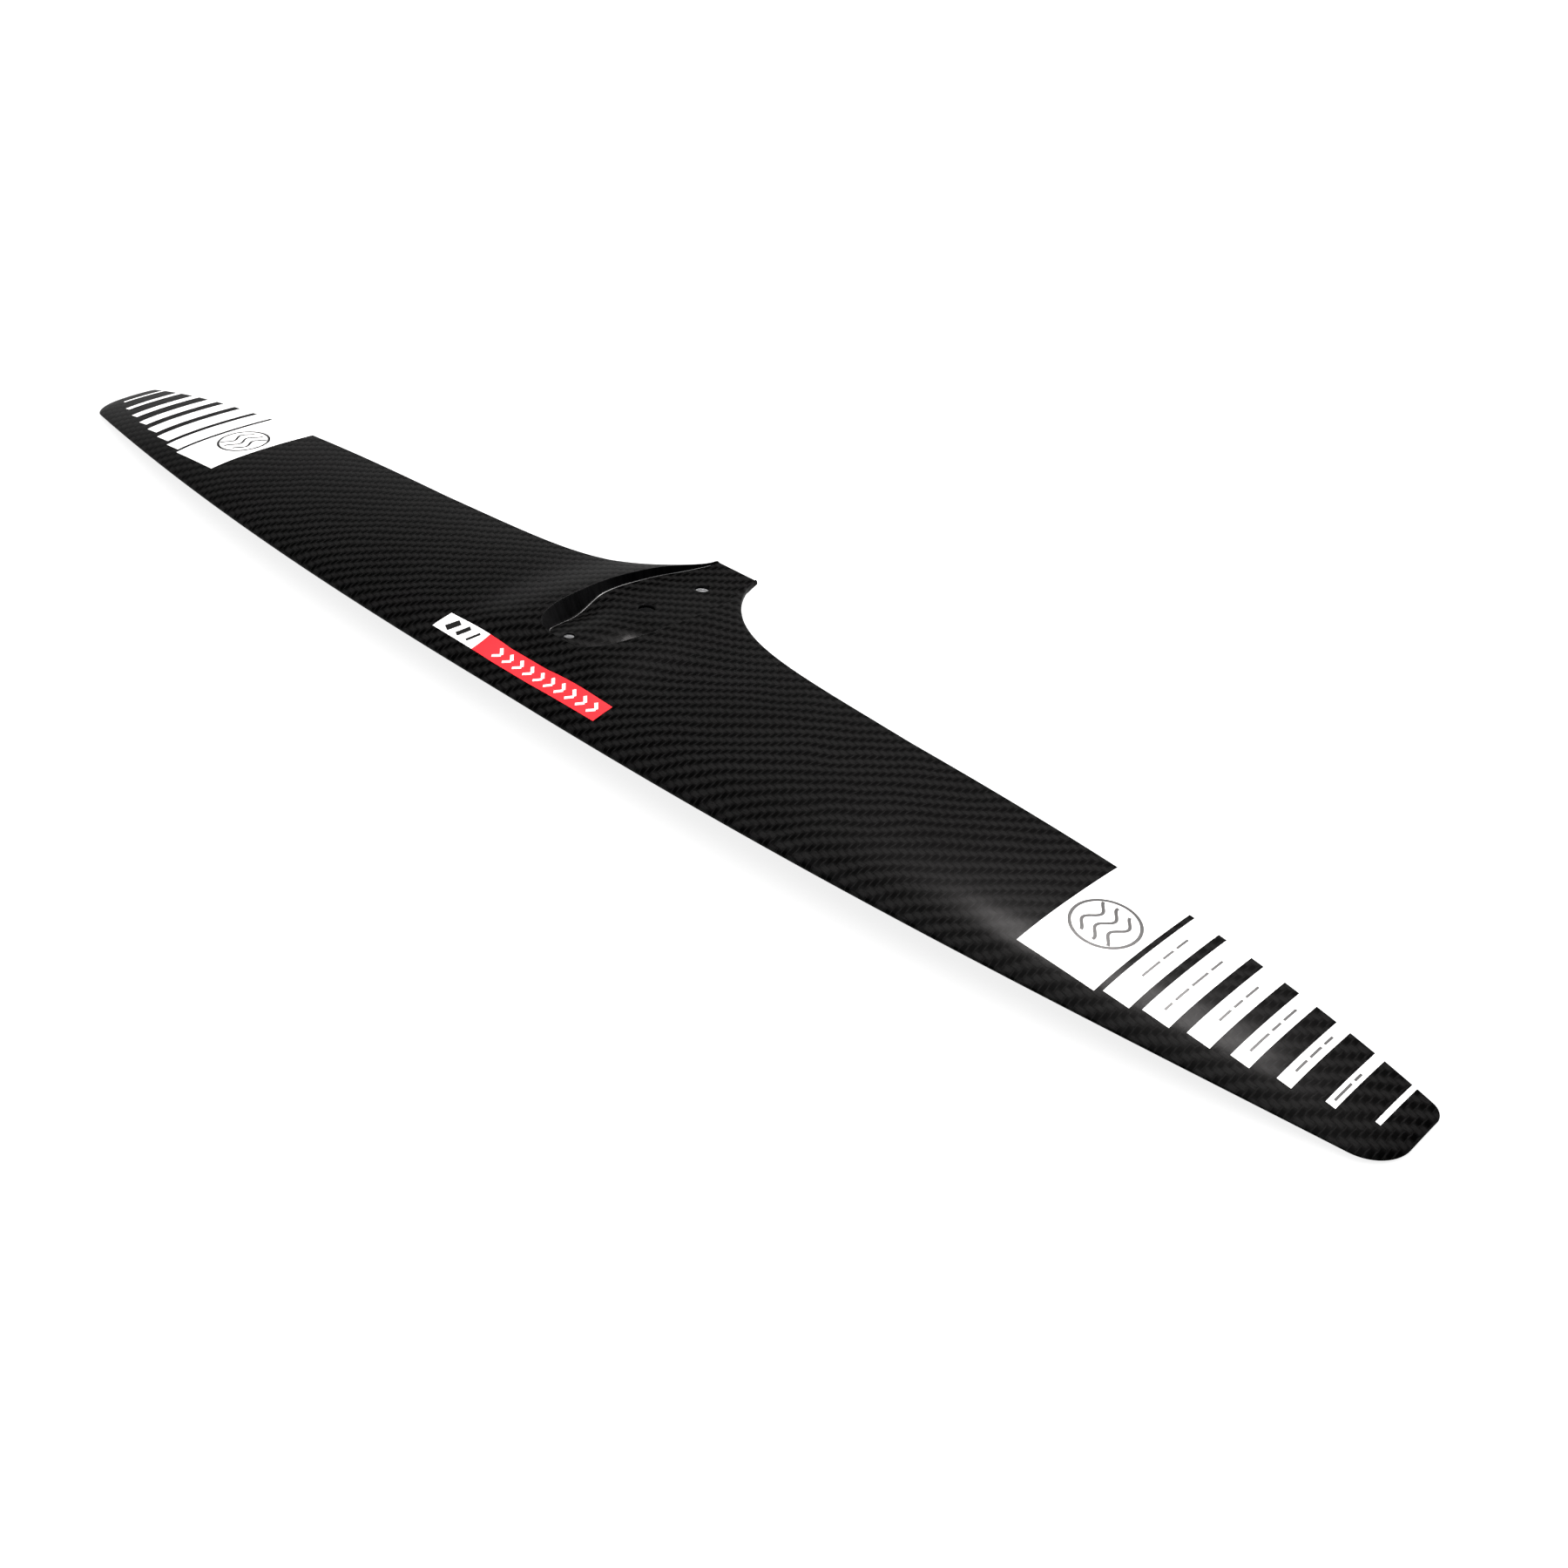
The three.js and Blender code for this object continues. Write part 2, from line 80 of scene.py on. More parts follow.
TAIL_FLARE, TAIL_FLARE_END = 5.0, 170.0
TAIL_DROP, TAIL_DROP_FADE = 13.15, 15.0
TAIL_EDGE, TAIL_EDGE_FADE = 1.6, 14.0
TAIL_SIDE_FADE = 1.5

SEAT_SLOPE, SEAT_LEVEL_AT, SEAT_FLAT_FROM = 0.1341, 103.5, 130.0
SEAT_FLAT_DROP, SEAT_FLAT_FADE = 1.6, 12.0
SEAT_CROWN, SEAT_CROWN_WIDTH, SEAT_CROWN_FULL, SEAT_CROWN_END = 5.0, 20.0, 64.0, 92.0
# points of the pocket's rim and of its floor, from the nose to the tail, on the right side
RIM = [(0, 40.2), (8, 40.6), (14.5, 42.4), (19.4, 46), (23, 52), (26.4, 64), (28.4, 85),
       (28.5, 102), (26.9, 118), (24.6, 131), (20, 143), (16.2, 153.5), (13.6, TAIL_END)]
FLOOR = [(0, 41.4), (6, 41.8), (11, 43.8), (15, 47.4), (18, 53), (21.2, 64), (25, 85),
         (27.4, 102), (26.3, 118), (24.2, 131), (19.8, 143), (16, 153.5), (13.4, TAIL_END)]
# front, middle and rear bolt holes: distance back, radius, thickness left under the seat, screw head
BOLTS = [(46.9, 2.7, 0.8, 6.5), (97.3, 4.3, 3.5, 0.0), (135.8, 3.75, 1.5, 7.0)]

BUSH_WALL, BUSH_GAP = 1.0, 0.3
BUSH_MOUTH, BUSH_EDGE, BUSH_LAND, BUSH_RECESS = 0.2, 0.15, 0.5, 0.1
WALL_BLACK_FROM, WALL_BLACK_TO = 44.5, 156.0   # the pocket wall is plain black between these
HIGHLIGHT_LINE_SHARE = 0.02         # width of the painted highlight line at the wall's foot, as a share of the floor's half width

SKIN, NOSE_SKIN = 0.9, 0.25
SEAT_THICKNESS, SEAT_LEAST = 1.5, 0.15
SEAT_SOLID_FROM = 122.0   # behind this the seat lies on the lower skin
SEAM = 0.01
REACH = 30.0              # how far the hole cutters run past the part
FILM_LIFT, FILM = 0.03, 0.05
# broad panel, then the seven stripes: inner and outer x, and the y of the front edge
FILM_TIP = [(289.2, 326.9, 28.8), (329.5, 341.7, 31.2), (345.7, 358.0, 34.2),
            (364.1, 374.4, 37.2), (381.5, 389.8, 40.4), (399.4, 405.7, 44.2),
            (417.5, 421.8, 48.9), (434.7, 436.9, 55.5)]
LABEL_FRONT, LABEL_REAR, LABEL_HALF_WIDTH, LABEL_SPLIT = 9.7, 21.7, 59.4, -29.0
# printed marks: badge centre, radius and line; bars on the right stripes; arrows on the red label
BADGE_AT, BADGE_RADIUS, BADGE_LINE = (308.0, 62.0), 14.5, 1.5
# gap from a stripe's front edge to its first bar, and the bars' lengths
STRIPE_BARS = [(17, 12, 7, 8), (6, 5, 9, 11, 8), (14, 8, 6, 9), (7, 13, 6, 9), (8, 8, 8, 6), (3, 12, 5)]
BAR_WIDTH, BAR_SPACE = 1.1, 2.2
ARROW_PITCH = 7.6


# ---- wing surface, for arrays of points ---------------------------------------------------
def smoothstep(t):
    t = np.clip(t, 0, 1)
    return t * t * (3 - 2 * t)


def tip_corner(s, radius):
    into = np.clip(s - (HALF_SPAN - radius), 0, radius)
    return radius - np.sqrt(radius ** 2 - into ** 2)


def leading_edge(x):
    s = np.abs(x)
    y = LE_SWEEP * (s / HALF_SPAN) ** LE_POWER + tip_corner(s, TIP_CORNER_FRONT)
    return y, -LE_DROOP * (s / HALF_SPAN) ** LE_DROOP_POWER


def plain_trailing_edge(s):
    return ROOT_CHORD - TE_SWEEP * (s / HALF_SPAN) ** TE_POWER


def tail_fillet(s):
    return TAIL_FILLET * np.exp(-s / TAIL_FILLET_FADE) + TAIL_FLARE * np.clip(1 - s / TAIL_FLARE_END, 0, 1)


def trailing_edge(x):
    s = np.abs(x)
    out = np.maximum(s, TAIL_HALF_WIDTH)
    corner = TAIL_END - plain_trailing_edge(TAIL_HALF_WIDTH) - tail_fillet(TAIL_HALF_WIDTH)
    side = corner * np.exp(-(out - TAIL_HALF_WIDTH) / TAIL_SIDE_FADE)
    swept = plain_trailing_edge(s) + tail_fillet(out) + side - tip_corner(s, TIP_CORNER_REAR)
    y = np.where(s <= TAIL_HALF_WIDTH, TAIL_END, swept)
    droop = TE_EDGE - 0.2 + TE_DROOP * (s / HALF_SPAN) ** TE_DROOP_POWER
    return y, -droop - TAIL_DROP * np.exp(-out / TAIL_DROP_FADE)


def section_half(u):
    """Half thickness of a four-digit section of unit thickness."""
    return 5 * (0.2969 * np.sqrt(u) - 0.126 * u - 0.3516 * u ** 2 + 0.2843 * u ** 3 - 0.1036 * u ** 4)


def camber_line(u):
    p = CAMBER_AT
    front = (2 * p * u - u * u) / (p * p)
    return np.where(u < p, front, (1 - 2 * p + 2 * p * u - u * u) / ((1 - p) ** 2))


def section(x, u):
    """y, height of the middle surface and half thickness at span station x and chord fraction u."""
    s = np.abs(x)
    le_y, le_z = leading_edge(x)
    te_y, te_z = trailing_edge(x)
    chord = plain_trailing_edge(s) - le_y
    ratio = THICKNESS_ROOT - THICKNESS_LOSS * (s / HALF_SPAN) ** 1.6
    bulge = np.exp(-((s / ROOT_BULGE_WIDTH) ** 4))
    tail = np.exp(-((np.maximum(s - TAIL_HALF_WIDTH, 0) / TAIL_EDGE_FADE) ** 2))
    edge = TE_EDGE + (TAIL_EDGE - TE_EDGE) * tail
    grown = smoothstep((u - ROOT_BULGE_FROM) / (ROOT_BULGE_FULL - ROOT_BULGE_FROM))
    thickness = ratio * chord + ROOT_BULGE * bulge * grown
    rounding = np.sqrt(np.clip(1 - (np.maximum(s - HALF_SPAN + 5, 0) / 5.03) ** 2, 0, 1))
    aft = AFT_FAIRING * bulge * u ** 1.5 * (1 - u) ** 0.25
    half = (thickness * section_half(u) + aft + edge / 2 * u) * rounding
    mid = le_z + (te_z - le_z) * u + CAMBER * chord * camber_line(u)
    return le_y + (te_y - le_y) * u, mid, half


def surface(x, y, side=1):
    """Height of the outer surface over x, y: side 1 is the upper one and -1 the lower one."""
    le_y = leading_edge(x)[0]
    te_y = trailing_edge(x)[0]
    _, mid, half = section(x, np.clip((y - le_y) / (te_y - le_y), 0, 1))
    return mid + side * half


def seat_level(y):
    sloping = -SEAT_SLOPE * (np.minimum(y, SEAT_FLAT_FROM) - SEAT_LEVEL_AT)
    behind = np.maximum(y - SEAT_FLAT_FROM, 0)
    return sloping - SEAT_FLAT_DROP * (1 - np.exp(-behind / SEAT_FLAT_FADE))


def seat_surface(x, y):
    crown = 1 - smoothstep((y - SEAT_CROWN_FULL) / (SEAT_CROWN_END - SEAT_CROWN_FULL))
    return seat_level(y) - SEAT_CROWN * crown * (x / SEAT_CROWN_WIDTH) ** 2


# ---- from wing millimetres to the CAD frame ------------------------------------------------
tip_x, tip_w = np.meshgrid(np.linspace(430, HALF_SPAN, 60), np.linspace(0, 1, 60))
_, tip_mid, tip_half = section(tip_x, tip_w)
SHIFT = np.array([0, cad_box[1].y / MM - TAIL_END, cad_box[0].z / MM - (tip_mid - tip_half).min()])


def to_frame(points):
    return (np.asarray(points, float) + SHIFT) * MM


# ---- mesh building ------------------------------------------------------------------------
class Shell:
    """Collects quads between shared points and turns them into one mesh object."""

    def __init__(self):
        self.points = []
        self.index = {}
        self.faces = []
        self.slots = []

    def point(self, p):
        key = tuple(np.round(p, 4))
        if key not in self.index:
            self.index[key] = len(self.points)
            self.points.append(p)
        return self.index[key]

    def grid(self, rows, slots=None, flip=False):
        """Quads over a grid of points; slots(row, column) gives each quad's material."""
        ids = np.array([[self.point(p) for p in row] for row in rows])
        for i in range(len(ids) - 1):
            for j in range(len(ids[0]) - 1):
                quad = [ids[i, j], ids[i + 1, j], ids[i + 1, j + 1], ids[i, j + 1]]
                unique = list(dict.fromkeys(int(q) for q in (quad[::-1] if flip else quad)))
                if len(unique) > 2:
                    self.faces.append(unique)
                    self.slots.append(slots(i, j) if slots else 0)

    def close(self, inner_of, slot=0):
        """Gives the open sheet a thickness: inner_of maps its points to the inside ones."""
        outer = list(self.faces)
        count = len(self.points)
        self.points += list(inner_of(np.array(self.points)))
        edges = {}
        for f in outer:
            for a, b in zip(f, f[1:] + f[:1]):
                edges[(a, b)] = True
        self.faces += [[v + count for v in reversed(f)] for f in outer]
        self.slots += [slot] * len(outer)
        for a, b in edges:
            if (b, a) not in edges:
                self.faces.append([b, a, a + count, b + count])
                self.slots.append(slot)

    def build(self, name, materials, sharp=35):
        mesh = bpy.data.meshes.new(name)
        mesh.from_pydata([tuple(p) for p in to_frame(self.points)], [], self.faces)
        mesh.validate()
        for m in materials:
            mesh.materials.append(m)
        mesh.polygons.foreach_set("material_index", self.slots)
        mesh.polygons.foreach_set("use_smooth", [True] * len(mesh.polygons))
        mesh.set_sharp_from_angle(angle=math.radians(sharp))
        obj = bpy.data.objects.new(name, mesh)
        bpy.context.scene.collection.objects.link(obj)
        return obj


def place(obj, slot_name, *nodes):
    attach(obj, "root")
    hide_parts(*nodes)
    return obj


def curve_through(points, count):
    """Evenly numbered points on a smooth curve through the given ones (Catmull-Rom)."""
    p = np.array(points, float)
    mirrored_start = [-p[1][0], p[1][1]]
    p = np.vstack([mirrored_start, p, 2 * p[-1] - p[-2]])
    out = []
    for t in np.linspace(0, len(points) - 1, count):
        k = min(int(t), len(points) - 2)
        f = t - k
        a, b, c, d = p[k:k + 4]
        out.append(0.5 * (2 * b + (c - a) * f + (2 * a - 5 * b + 4 * c - d) * f ** 2
                          + (3 * b - a - 3 * c + d) * f ** 3))
    return np.array(out)


# ---- material nodes -----------------------------------------------------------------------
class Nodes:
    """Short calls for building a node material."""

    def __init__(self, name):
        self.material = bpy.data.materials.new(name)
        self.material.use_nodes = True
        self.tree = self.material.node_tree
        self.shader = self.tree.nodes["Principled BSDF"]

    def node(self, kind, **settings):
        made = self.tree.nodes.new(kind)
        for key, value in settings.items():
            setattr(made, key, value)
        return made

    def feed(self, socket, value):
        if isinstance(value, bpy.types.NodeSocket):
            self.tree.links.new(value, socket)
        else:
            socket.default_value = value

    def math(self, operation, *values):
        made = self.node("ShaderNodeMath", operation=operation)
        for socket, value in zip(made.inputs, values):
            self.feed(socket, value)
        return made.outputs[0]

    def place(self):
        """X, Y and Z of the point in the part's frame, in mm."""
        coordinates = self.node("ShaderNodeTexCoord")
        scaled = self.node("ShaderNodeVectorMath", operation="SCALE")
        self.feed(scaled.inputs[0], coordinates.outputs["Object"])
        scaled.inputs["Scale"].default_value = 1 / MM
        split = self.node("ShaderNodeSeparateXYZ")
        self.feed(split.inputs[0], scaled.outputs[0])
        return split.outputs

    def vector(self, x, y, z):
        made = self.node("ShaderNodeCombineXYZ")
        for socket, value in zip(made.inputs, (x, y, z)):
            self.feed(socket, value)
        return made.outputs[0]

    def noise(self, vector, scale, detail=3.0, roughness=0.5):
        made = self.node("ShaderNodeTexNoise")
        self.feed(made.inputs["Vector"], vector)
        made.inputs["Scale"].default_value = scale
        made.inputs["Detail"].default_value = detail
        made.inputs["Roughness"].default_value = roughness
        return made.outputs["Fac"]

    def between(self, value, low, high, to_low=0.0, to_high=1.0, smooth=False):
        made = self.node("ShaderNodeMapRange")
        made.interpolation_type = "SMOOTHSTEP" if smooth else "LINEAR"
        for socket, v in zip(made.inputs, (value, low, high, to_low, to_high)):
            self.feed(socket, v)
        return made.outputs[0]

    def mix(self, factor, a, b):
        made = self.node("ShaderNodeMix", data_type="RGBA")
        self.feed(made.inputs[0], factor)
        for socket, colour in zip((made.inputs[6], made.inputs[7]), (a, b)):
            self.feed(socket, (*colour, 1) if isinstance(colour, tuple) else colour)
        return made.outputs[2]

    def bump(self, height, distance_mm, strength=1.0):
        made = self.node("ShaderNodeBump")
        made.inputs["Strength"].default_value = strength
        made.inputs["Distance"].default_value = distance_mm * MM
        self.feed(made.inputs["Height"], height)
        self.feed(self.shader.inputs["Normal"], made.outputs[0])

    def set(self, **values):
        for key, value in values.items():
            name = key.replace("_", " ")
            if isinstance(value, tuple) and len(value) == 3:
                value = (*value, 1)
            self.feed(self.shader.inputs[name], value)
        return self.material


TOW = 2.57         # width of one carbon tow in the 2/2 twill, mm
SWAY, JITTER = 5.0, 0.9   # how far the tows wander over the wing and from stitch to stitch, mm


def weave(n, x, y):
    """2/2 twill of tows along X and Y: whether the Y tow is on top, its end, flank and fibre tones."""
    sway = n.noise(n.vector(x, y, 0.0), 0.03, 1.0)
    jitter = n.noise(n.vector(x, y, 5.0), 0.45, 2.0)
    bent = n.math("ADD", n.math("MULTIPLY", sway, SWAY), n.math("MULTIPLY", jitter, JITTER))
    along_x = n.math("DIVIDE", n.math("ADD", x, bent), TOW)
    along_y = n.math("DIVIDE", n.math("SUBTRACT", y, bent), TOW)
    i = n.math("FLOOR", along_x)
    j = n.math("FLOOR", along_y)
    fx = n.math("SUBTRACT", along_x, i)
    fy = n.math("SUBTRACT", along_y, j)
    phase = n.math("FLOORED_MODULO", n.math("SUBTRACT", i, j), 4.0)
    warp = n.math("LESS_THAN", phase, 1.5)

    def pick(when_warp, when_weft):
        return n.math("ADD", n.math("MULTIPLY", warp, when_warp),
                      n.math("MULTIPLY", n.math("SUBTRACT", 1.0, warp), when_weft))

    # run goes from 0 to 2 along the two cells that a tow floats over
    run = pick(n.math("ADD", n.math("SUBTRACT", 1.0, phase), fy),
               n.math("ADD", n.math("SUBTRACT", phase, 2.0), fx))
    across = pick(fx, fy)
    end = n.between(n.math("MINIMUM", run, n.math("SUBTRACT", 2.0, run)), 0.0, 0.6, smooth=True)
    side = n.math("ABSOLUTE", n.math("SUBTRACT", n.math("MULTIPLY", across, 2.0), 1.0))
    flank = n.between(side, 0.6, 1.0, smooth=True)
    fibre_y = n.noise(n.vector(n.math("MULTIPLY", x, 3.0), n.math("MULTIPLY", y, 0.4), 0.0), 1.0, 2.0)
    fibre_x = n.noise(n.vector(n.math("MULTIPLY", x, 0.4), n.math("MULTIPLY", y, 3.0), 3.0), 1.0, 2.0)
    return warp, end, flank, pick(fibre_y, fibre_x)


def twill(name, bright, dark, roughness):
    """Twill under clear resin, its sheen painted into the colour: the X tows painted lit, with painted
    shade at their ends, the Y tows painted dark between painted highlights on their edges.
    """
    n = Nodes(name)
    x, y, _ = n.place()
    warp, end, flank, fibre = weave(n, x, y)
    clouds = n.noise(n.vector(x, y, 0.0), 0.021, 2.0)
    tone = n.math("MULTIPLY", n.between(fibre, 0.3, 0.7, 0.45, 1.5),
                  n.between(clouds, 0.3, 0.7, 0.85, 1.15))
    # painted sheen and shade: X tows painted lit and darker at their ends, Y tows painted dark with
    # painted highlights on their ends and flanks
    weft_lit = n.math("MULTIPLY", n.between(end, 0.0, 1.0, 0.4, 1.0),
                      n.between(flank, 0.0, 1.0, 1.0, 0.55))
    warp_lit = n.math("MULTIPLY", n.between(end, 0.0, 1.0, 0.5, 0.0), 0.6)
    warp_lit = n.math("MAXIMUM", warp_lit, n.math("MULTIPLY", flank, 0.75))
    weft = n.mix(n.math("MULTIPLY", weft_lit, tone), dark, bright)
    under = n.mix(n.math("MULTIPLY", warp_lit, tone), dark, bright)
    n.set(Base_Color=n.mix(warp, weft, under),
          Roughness=n.between(fibre, 0.2, 0.8, roughness - 0.05, roughness + 0.07))
    n.shader.inputs["Specular IOR Level"].default_value = 0.012
    n.shader.inputs["Coat Weight"].default_value = 0.03
    n.shader.inputs["Coat Roughness"].default_value = 0.15
    n.shader.inputs["Coat IOR"].default_value = 1.45
    height = n.math("SUBTRACT", end, n.math("MULTIPLY", flank, 0.5))
    n.bump(n.math("ADD", height, n.math("MULTIPLY", fibre, 0.12)), 0.04, 0.6)
    return n.material


def plain_black():
    """Moulded pocket wall: pure resin black with faint streaks running up it, painted reflections in the
    colour that also vary its gloss and bump.
    """
    n = Nodes("pocket_black")
    x, y, z = n.place()
    marks = n.noise(n.vector(n.math("MULTIPLY", x, 0.2), n.math("MULTIPLY", y, 0.55),
                             n.math("MULTIPLY", z, 0.03)), 1.0, 3.0)
    # the streaks are painted reflections: lighter and darker bands in the colour
    n.set(Base_Color=n.mix(n.between(marks, 0.35, 0.65),
                           (0.0008, 0.0008, 0.0009), (0.0035, 0.0035, 0.0038)),
          Roughness=n.between(marks, 0.3, 0.7, 0.32, 0.5))
    n.shader.inputs["Specular IOR Level"].default_value = 0.03
    n.bump(marks, 0.03, 0.4)
    return n.material


def painted_highlight_line():
    """Thin painted highlight along the foot of the pocket wall: a light grey strip standing in for light
    caught by its edge.
    """
    n = Nodes("painted_highlight_line")
    x, y, z = n.place()
    tone = n.noise(n.vector(x, y, z), 0.09, 2.0)
    n.set(Base_Color=n.mix(n.between(tone, 0.35, 0.65), (0.13, 0.13, 0.13), (0.34, 0.34, 0.34)),
          Roughness=n.between(tone, 0.3, 0.7, 0.2, 0.32))
    return n.material


def film(name, colour, shade):
    """Printed film under the clear coat; it only varies a little in tone and gloss."""
    n = Nodes(name)
    x, y, z = n.place()
    tone = n.noise(n.vector(x, y, 0.0), 0.05, 3.0)
    grain = n.noise(n.vector(x, y, z), 2.2, 2.0)
    n.set(Base_Color=n.mix(n.between(tone, 0.3, 0.7), shade, colour),
          Roughness=n.between(grain, 0.3, 0.7, 0.36, 0.46))
    n.shader.inputs["Specular IOR Level"].default_value = 0.3
    n.bump(grain, 0.01, 0.3)
    return n.material


def turned_steel():
    """Stainless steel with fine turning marks."""
    n = Nodes("bush_steel")
    x, y, z = n.place()
    marks = n.noise(n.vector(n.math("MULTIPLY", x, 0.1), n.math("MULTIPLY", y, 0.1),
                             n.math("MULTIPLY", z, 9.0)), 1.0, 3.0)
    n.set(Base_Color=n.mix(marks, (0.86, 0.86, 0.87), (0.95, 0.95, 0.95)),
          Roughness=n.between(marks, 0.3, 0.7, 0.55, 0.65))
    n.shader.inputs["Metallic"].default_value = 1.0
    n.bump(marks, 0.01, 0.3)
    return n.material


def unidirectional():
    """Bare unidirectional carbon, fibres along the span."""
    n = Nodes("unidirectional_carbon")
    x, y, z = n.place()
    fibre = n.noise(n.vector(n.math("MULTIPLY", x, 0.05), n.math("MULTIPLY", y, 4.0),
                             n.math("MULTIPLY", z, 4.0)), 1.0, 4.0)
    n.set(Base_Color=n.mix(n.between(fibre, 0.3, 0.7), (0.008, 0.008, 0.009), (0.03, 0.03, 0.033)),
          Roughness=n.between(fibre, 0.3, 0.7, 0.35, 0.55))
    n.bump(fibre, 0.05, 0.5)
    return n.material


def foam():
    """Closed-cell foam core, cut cells showing."""
    n = Nodes("foam_core")
    coordinates = n.vector(*n.place())
    cells = n.node("ShaderNodeTexVoronoi")
    n.feed(cells.inputs["Vector"], coordinates)
    cells.inputs["Scale"].default_value = 1.6
    depth = n.between(cells.outputs["Distance"], 0.0, 0.6)
    n.set(Base_Color=n.mix(depth, (0.55, 0.44, 0.24), (0.78, 0.68, 0.45)), Roughness=0.85)
    n.bump(depth, 0.15, 0.6)
    return n.material


def laminate():
    """Machined solid glass and carbon laminate, with its plies showing as fine layers."""
    n = Nodes("solid_laminate")
    x, y, z = n.place()
    waver = n.noise(n.vector(x, y, 0.0), 0.08, 2.0)
    plies = n.math("SINE", n.math("MULTIPLY", n.math("ADD", z, waver), 16.0))
    n.set(Base_Color=n.mix(n.between(plies, -1.0, 1.0), (0.02, 0.02, 0.021), (0.045, 0.045, 0.047)),
          Roughness=n.between(plies, -1.0, 1.0, 0.5, 0.62))
    n.bump(plies, 0.02, 0.4)
    return n.material


# the two tones carry the painted lit and dark sheen of the tows
CARBON = twill("carbon_twill", (0.0085, 0.0084, 0.0084), (0.0003, 0.0003, 0.0003), 0.36)
POCKET = plain_black()
# light grey line painted as a highlight along the foot of the pocket wall
HIGHLIGHT_LINE = painted_highlight_line()
WHITE = film("film_white", (0.93, 0.93, 0.93), (0.90, 0.90, 0.90))
BLACK_INK = film("black_ink", (0.002, 0.002, 0.002), (0.001, 0.001, 0.001))
GREY_INK = film("grey_ink", (0.035, 0.035, 0.035), (0.025, 0.025, 0.025))
STEEL = turned_steel()
RED = film("film_red", (0.9, 0.021, 0.03), (0.84, 0.018, 0.026))
INNER = {"unidirectional_carbon": unidirectional(), "foam_core": foam(), "solid_laminate": laminate()}

# ---- stations -----------------------------------------------------------------------------
CENTRE_HALF_WIDTH = 62.0       # the pocket lies in a mesh patch of its own inside this
NOSE_WRAP = 0.14               # the upper skin wraps this far under the nose, as sqrt(u)
PATCH_FRONT = 0.22             # front of the centre patch, as sqrt(u)

root_columns = np.linspace(-NOSE_WRAP, PATCH_FRONT, 19)
chord_columns = PATCH_FRONT + (1 - PATCH_FRONT) * np.linspace(0, 1, 29)
tip_angle = np.linspace(0, math.pi / 2, 15)[1:]
tip_stations = 434.5 + (HALF_SPAN - 434.5) * np.sin(tip_angle)
span_stations = np.concatenate([np.linspace(CENTRE_HALF_WIDTH, 434.5, 86), tip_stations])
centre_stations = np.linspace(0, CENTRE_HALF_WIDTH, 32)


def skin_point(x, w, side):
    """Point of the outer surface; w is the square root of the chord fraction, below 0 under the nose."""
    y, mid, half = section(x, w * w)
    return np.stack([x + 0 * y, y, mid + side * np.sign(w) * half], -1)


def skin_rows(xs, ws, side):
    x, w = np.meshgrid(xs, ws, indexing="ij")
    return skin_point(x, w, side)


def offset_inwards(side):
    """Maps outer points to the inside face, thinner where the section itself is thin."""
    def inner(points):
        x, y, z = points.T
        le_y = leading_edge(x)[0]
        te_y = trailing_edge(x)[0]
        u = np.clip((y - le_y) / (te_y - le_y), 0, 1)
        _, mid, half = section(x, u)
        depth = np.minimum(SKIN, 0.04 + 0.5 * half)
        bonded = smoothstep((u - 0.93) / 0.05)
        depth = np.maximum(depth, (half - SEAM / 2) * bonded)
        nose = np.clip(1 - np.sqrt(u) / 0.12, 0, 1)
        lower = np.sign(z - mid) * side < 0
        towards = np.where(lower, -side, side)
        flat = np.where(half < 0.02, 0, 1)
        return np.stack([x, y + nose * NOSE_SKIN,
                         z - towards * depth * (1 - 0.6 * nose) * flat], -1)
    return inner


def both_sides(shell, rows, **how):
    """Adds a grid of the right half and its mirror image."""
    shell.grid(rows, **how)
    mirror = np.array(rows) * [-1, 1, 1]
    shell.grid(mirror, **{**how, "flip": not how.get("flip", False)})


# ---- upper skin ---------------------------------------------------------------------------
def cumulative(points):
    steps = np.linalg.norm(np.diff(points, axis=0), axis=1)
    return np.concatenate([[0], np.cumsum(steps)])


def resample(points, marks):
    """Points of a polyline at the given shares of its length."""
    at = cumulative(points)
    return np.stack([np.interp(marks * at[-1], at, points[:, k]) for k in range(2)], -1)


RIM_FINE = curve_through(RIM, 241)
FLOOR_FINE = curve_through(FLOOR, 241)


def share_at(points, y):
    """Share of the curve's length where it passes distance y behind the leading edge."""
    at = cumulative(points)
    return at[np.searchsorted(points[:, 1], y)] / at[-1]


te_stations = TAIL_HALF_WIDTH + (CENTRE_HALF_WIDTH - TAIL_HALF_WIDTH) * np.linspace(1, 0, 41) ** 1.6
front_edge = np.stack([centre_stations, section(centre_stations, PATCH_FRONT ** 2)[0]], -1)
side_x = np.full(len(chord_columns), CENTRE_HALF_WIDTH)
side_edge = np.stack([side_x, section(side_x, chord_columns ** 2)[0]], -1)
rear_edge = np.stack([te_stations, trailing_edge(te_stations)[0]], -1)
rear_edge[-1, 1] = TAIL_END
outer_edge = np.vstack([front_edge, side_edge[1:], rear_edge[1:]])

# the rim is divided to match the outer edge: nose, side and tail
nose_share = share_at(RIM_FINE, 46)
waist_share = share_at(RIM_FINE, 112)
rim_marks = np.concatenate([
    np.linspace(0, nose_share, len(front_edge)),
    np.linspace(nose_share, waist_share, len(side_edge))[1:],
    waist_share + (1 - waist_share) * np.linspace(0, 1, len(rear_edge))[1:] ** 0.9,
])
rim_line = resample(RIM_FINE, rim_marks)
floor_line = resample(FLOOR_FINE, np.interp(rim_marks, [0, nose_share, waist_share, 1],
                                            [0, share_at(FLOOR_FINE, 49), share_at(FLOOR_FINE, 112), 1]))


def raised(xy, side=1):
    return np.concatenate([xy, surface(xy[..., 0], xy[..., 1], side)[..., None]], -1)


